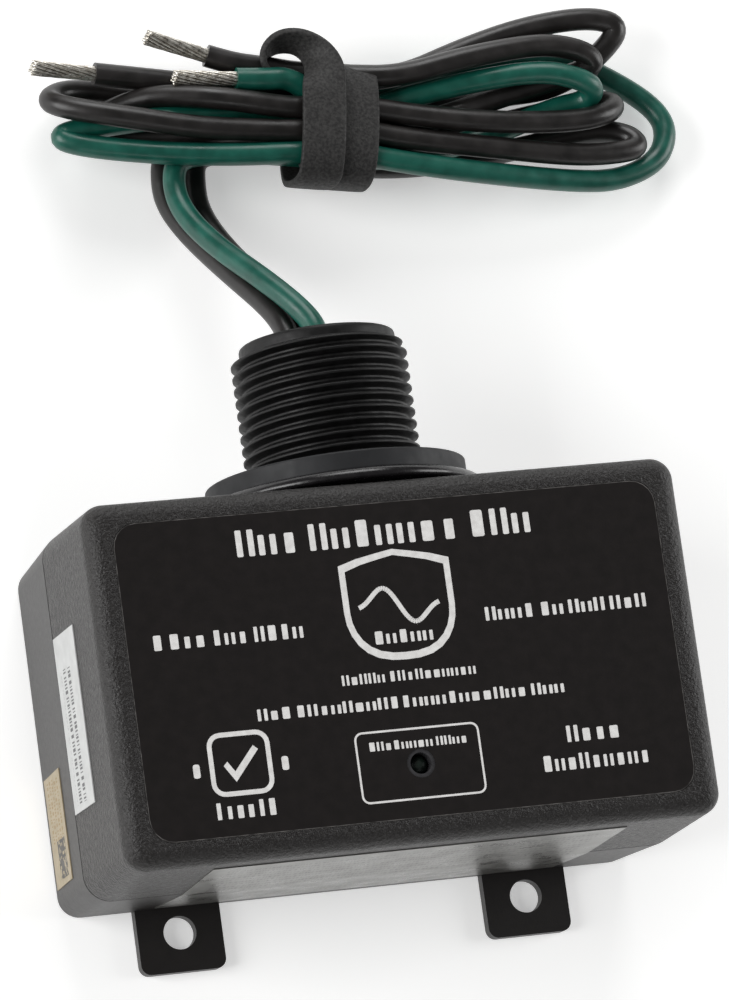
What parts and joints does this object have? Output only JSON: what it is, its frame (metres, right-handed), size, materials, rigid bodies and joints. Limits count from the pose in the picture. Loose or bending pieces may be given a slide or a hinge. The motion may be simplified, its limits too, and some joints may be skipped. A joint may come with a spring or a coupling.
{
  "type": "surge protector",
  "caption": "Black plastic surge protector box with threaded conduit nipple, sealing washer, mounting tabs and a tied hank of supply leads.",
  "frame": {"origin": "middle of the box, tabs and nipple taken together, on the plane of the back", "axes": "+Z out of the front face, +Y along the threaded nipple away from the box, +X to the right seen from the front; it lies on its back"},
  "size_m": [0.1132, 0.1429, 0.048],
  "materials": {
    "abs_front": "coarse grain",
    "abs_rear": "fine grain",
    "screw_steel": "zinc plated",
    "overlay_black": "semi gloss, white print",
    "paper_white": "satin paper",
    "paper_tan": "satin paper",
    "silver_polyester": "gloss metallised film",
    "bezel_grey": "satin",
    "led_lens": "gloss",
    "spacer_white": "satin",
    "nylon_black": "gloss",
    "washer_rubber": "satin",
    "potting": "gloss",
    "fibreglass": "solder mask",
    "varistor_blue": "dipped epoxy",
    "cutoff_case": "glazed",
    "film_box": "moulded",
    "resistor_body": "lacquered",
    "diode_body": "moulded",
    "terminal_tin": "tinned",
    "pvc_green": "satin",
    "pvc_black": "satin",
    "tinned_copper": "bright, twisted",
    "tie_rubber": "speckled, matt"
  },
  "bodies": {
    "housing": {"front_housing": "abs_front", "rear_cover": "abs_rear", "cover_screws": "screw_steel", "front_label": "overlay_black", "serial_sticker": "paper_white", "date_sticker": "paper_tan", "rating_label": "silver_polyester", "led_bezel": "bezel_grey", "status_led": "led_lens", "led_spacer": "spacer_white", "threaded_nipple": "nylon_black", "lead_seal": "potting", "circuit_board": "fibreglass", "board_screws": "screw_steel", "varistor_1": "varistor_blue", "varistor_2": "varistor_blue", "varistor_3": "varistor_blue", "varistor_4": "varistor_blue", "varistor_5": "varistor_blue", "varistor_6": "varistor_blue", "thermal_cutoff_1": "cutoff_case", "thermal_cutoff_2": "cutoff_case", "filter_capacitor": "film_box", "led_resistors": "resistor_body", "led_diode": "diode_body", "lead_terminals": "terminal_tin", "inner_lead_green": "pvc_green", "inner_lead_black_left": "pvc_black", "inner_lead_black_right": "pvc_black", "lead_green": "pvc_green", "lead_black_left": "pvc_black", "lead_black_right": "pvc_black", "tail_green": "pvc_green", "tail_black_a": "pvc_black", "tail_black_b": "pvc_black", "strands_green": "tinned_copper", "strands_black_a": "tinned_copper", "strands_black_b": "tinned_copper", "lead_hank": "pvc_black", "hank_tie": "tie_rubber"},
    "washer": {"sealing_washer": "washer_rubber"}
  },
  "joints": [
    {"name": "washer_slide", "type": "slide", "parent": "housing", "child": "washer", "axis": [0, 1, 0], "range_m": [0, 0.02]}
  ]
}
